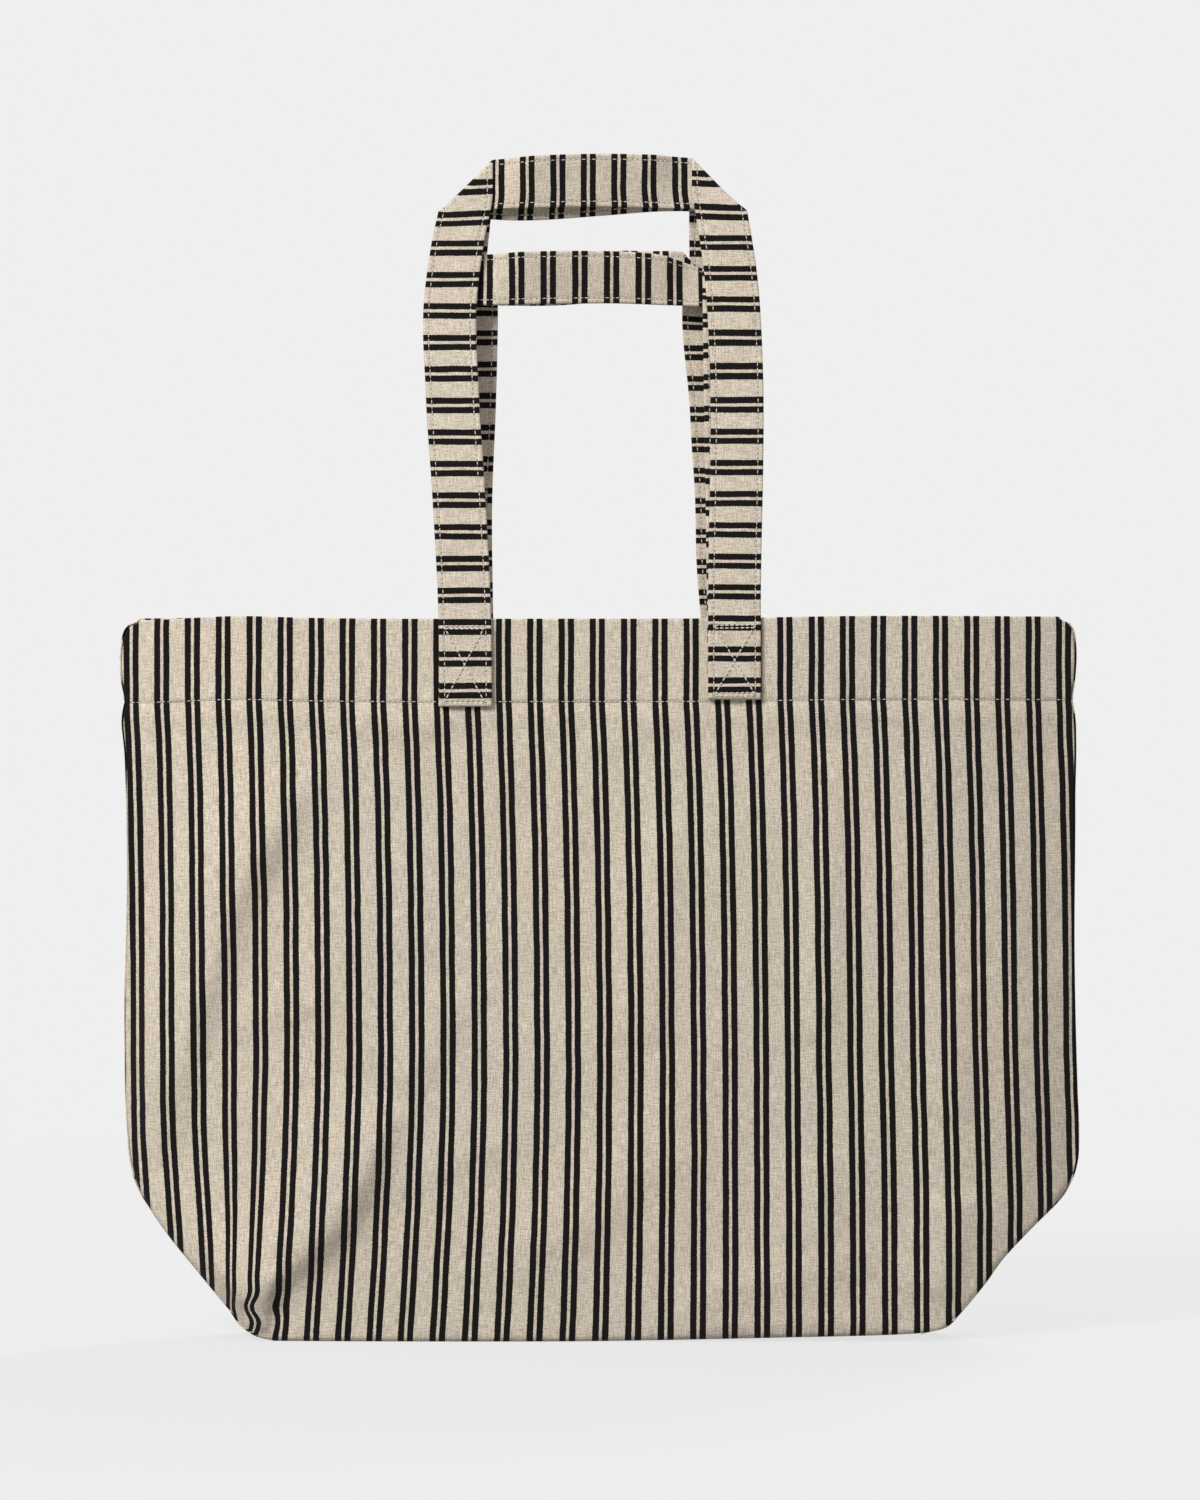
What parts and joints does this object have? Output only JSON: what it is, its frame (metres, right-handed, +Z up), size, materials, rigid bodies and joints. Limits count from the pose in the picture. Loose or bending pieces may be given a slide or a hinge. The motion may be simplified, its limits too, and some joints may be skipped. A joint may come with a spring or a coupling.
{
  "type": "canvas tote bag",
  "caption": "Wide striped canvas shopper with a boxed base folded in, slanted lower corners, a deep stitched hem, and a long and a short sewn handle on each face.",
  "frame": {"origin": "on the floor under the middle of the bag, at the centre of its bounding box's bottom", "axes": "+X to the bag's right seen from the front, -Y out of the front face, +Z up from the base to the handles"},
  "size_m": [0.618, 0.062, 0.769],
  "materials": {
    "canvas": "matt natural cotton canvas with pairs of black stripes",
    "strap_canvas": "the same striped canvas folded into straps, stripes running across",
    "thread": "cream sewing thread"
  },
  "bodies": {
    "bag": {"front_panel": "canvas", "back_panel": "canvas", "front_base_half": "canvas", "back_base_half": "canvas", "base_seam": "canvas", "front_hem_facing": "canvas", "back_hem_facing": "canvas", "left_side_seam": "canvas", "right_side_seam": "canvas", "left_corner_seam": "canvas", "right_corner_seam": "canvas", "left_front_corner_fold": "canvas", "left_back_corner_fold": "canvas", "right_front_corner_fold": "canvas", "right_back_corner_fold": "canvas", "front_long_left_foot": "strap_canvas", "front_long_right_foot": "strap_canvas", "front_short_left_foot": "strap_canvas", "front_short_right_foot": "strap_canvas", "back_long_left_foot": "strap_canvas", "back_long_right_foot": "strap_canvas", "back_short_left_foot": "strap_canvas", "back_short_right_foot": "strap_canvas", "front_hem_stitching": "thread", "back_hem_stitching": "thread", "front_left_box_stitch": "thread", "front_right_box_stitch": "thread", "back_left_box_stitch": "thread", "back_right_box_stitch": "thread"},
    "front_long_handle": {"front_long_strap": "strap_canvas", "front_long_edge_stitching": "thread"},
    "front_short_handle": {"front_short_strap": "strap_canvas", "front_short_edge_stitching": "thread"},
    "back_long_handle": {"back_long_strap": "strap_canvas", "back_long_edge_stitching": "thread"},
    "back_short_handle": {"back_short_strap": "strap_canvas", "back_short_edge_stitching": "thread"}
  },
  "joints": [
    {"name": "front_long_swing", "type": "hinge", "parent": "bag", "child": "front_long_handle", "pos_m": [0, -0.0274, 0.4708], "axis": [1, 0, 0], "range_deg": [0, 175]},
    {"name": "front_short_swing", "type": "hinge", "parent": "bag", "child": "front_short_handle", "pos_m": [0, -0.0274, 0.4708], "axis": [1, 0, 0], "range_deg": [0, 175]},
    {"name": "back_long_swing", "type": "hinge", "parent": "bag", "child": "back_long_handle", "pos_m": [0, 0.0274, 0.4708], "axis": [-1, 0, 0], "range_deg": [0, 175]},
    {"name": "back_short_swing", "type": "hinge", "parent": "bag", "child": "back_short_handle", "pos_m": [0, 0.0274, 0.4708], "axis": [-1, 0, 0], "range_deg": [0, 175]}
  ],
  "couplings": [
    {"joint": "front_short_swing", "follows": "front_long_swing", "ratio": 1},
    {"joint": "back_short_swing", "follows": "back_long_swing", "ratio": 1}
  ]
}
